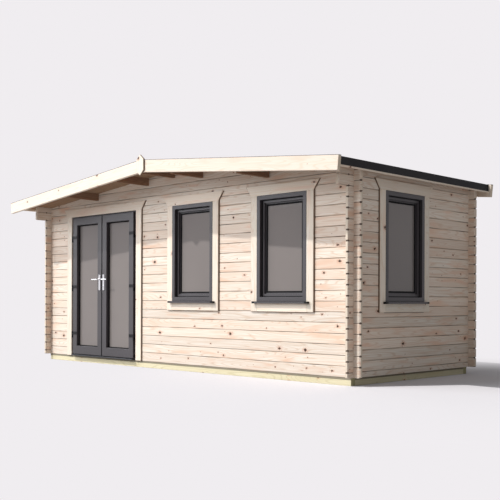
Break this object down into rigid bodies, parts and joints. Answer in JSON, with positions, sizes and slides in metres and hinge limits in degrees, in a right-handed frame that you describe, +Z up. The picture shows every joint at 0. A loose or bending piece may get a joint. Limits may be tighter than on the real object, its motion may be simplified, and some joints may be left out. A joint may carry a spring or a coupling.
{
  "type": "log cabin",
  "caption": "Small hollow log cabin with notched corners, a low ridge roof on purlins, glazed double door that opens outwards, and fixed windows",
  "frame": {"origin": "Centre of the wall footprint, on the ground under the centre floor joist", "axes": "+X right along the front, +Y from the front to the back, +Z up; the door and two windows face -Y"},
  "size_m": [6.2028, 3.057, 2.6788],
  "materials": {
    "treated_timber": "pressure-treated sawn softwood, slightly green",
    "floor_boards": "planed tongue-and-groove spruce boards",
    "wall_logs": "planed pale spruce logs with small knots, unpainted",
    "roof_timber": "planed spruce purlins and roof boards",
    "insulation": "rigid foam board",
    "roof_membrane": "smooth black rubber membrane",
    "trim_boards": "planed pale spruce boards, unpainted",
    "painted_joinery": "timber painted anthracite grey, satin",
    "threshold_metal": "dark anodised aluminium",
    "glazing": "clear sealed glass units",
    "hinge_steel": "dark powder-coated steel",
    "handle_chrome": "satin chrome"
  },
  "bodies": {
    "cabin": {"long_bearers": "treated_timber", "side_bearers": "treated_timber", "floor_joists": "treated_timber", "floor": "floor_boards", "front_wall_left": "wall_logs", "front_wall_right": "wall_logs", "front_gable": "wall_logs", "back_wall": "wall_logs", "left_wall": "wall_logs", "right_wall": "wall_logs", "ridge_purlin": "roof_timber", "left_purlins": "roof_timber", "right_purlins": "roof_timber", "roof_boards_left": "roof_timber", "roof_boards_right": "roof_timber", "roof_insulation": "insulation", "roof_membrane_left": "roof_membrane", "roof_membrane_right": "roof_membrane", "eaves_boards": "trim_boards", "front_fascia_left": "trim_boards", "front_fascia_right": "trim_boards", "back_fascia_left": "trim_boards", "back_fascia_right": "trim_boards", "finials": "trim_boards", "door_jambs": "painted_joinery", "door_head": "painted_joinery", "door_threshold": "threshold_metal", "casing_side_boards": "trim_boards", "casing_heads": "trim_boards", "casing_bottoms": "trim_boards", "window_frames": "painted_joinery", "window_sashes": "painted_joinery", "window_glass": "glazing", "window_sills": "painted_joinery", "frame_hinges": "hinge_steel"},
    "door_left": {"door_leaf_left": "painted_joinery", "door_glass_left": "glazing", "leaf_hinges_left": "hinge_steel", "handle_plates_left": "handle_chrome"},
    "door_right": {"door_leaf_right": "painted_joinery", "door_glass_right": "glazing", "leaf_hinges_right": "hinge_steel", "handle_plates_right": "handle_chrome"},
    "handle_left": {"lever_left": "handle_chrome"},
    "handle_right": {"lever_right": "handle_chrome"}
  },
  "joints": [
    {"name": "left_door_hinge", "type": "hinge", "parent": "cabin", "child": "door_left", "pos_m": [-2.231, -1.195, 1.1], "axis": [0, 0, -1], "range_deg": [0, 105]},
    {"name": "right_door_hinge", "type": "hinge", "parent": "cabin", "child": "door_right", "pos_m": [-0.789, -1.195, 1.1], "axis": [0, 0, 1], "range_deg": [0, 105]},
    {"name": "left_lever", "type": "hinge", "parent": "door_left", "child": "handle_left", "pos_m": [-1.557, -1.191, 1.177], "axis": [0, -1, 0], "range_deg": [0, 40], "stiffness_Nm_per_rad": 2, "springref_deg": -34.38},
    {"name": "right_lever", "type": "hinge", "parent": "door_right", "child": "handle_right", "pos_m": [-1.463, -1.191, 1.177], "axis": [0, 1, 0], "range_deg": [0, 40], "stiffness_Nm_per_rad": 2, "springref_deg": -34.38}
  ]
}
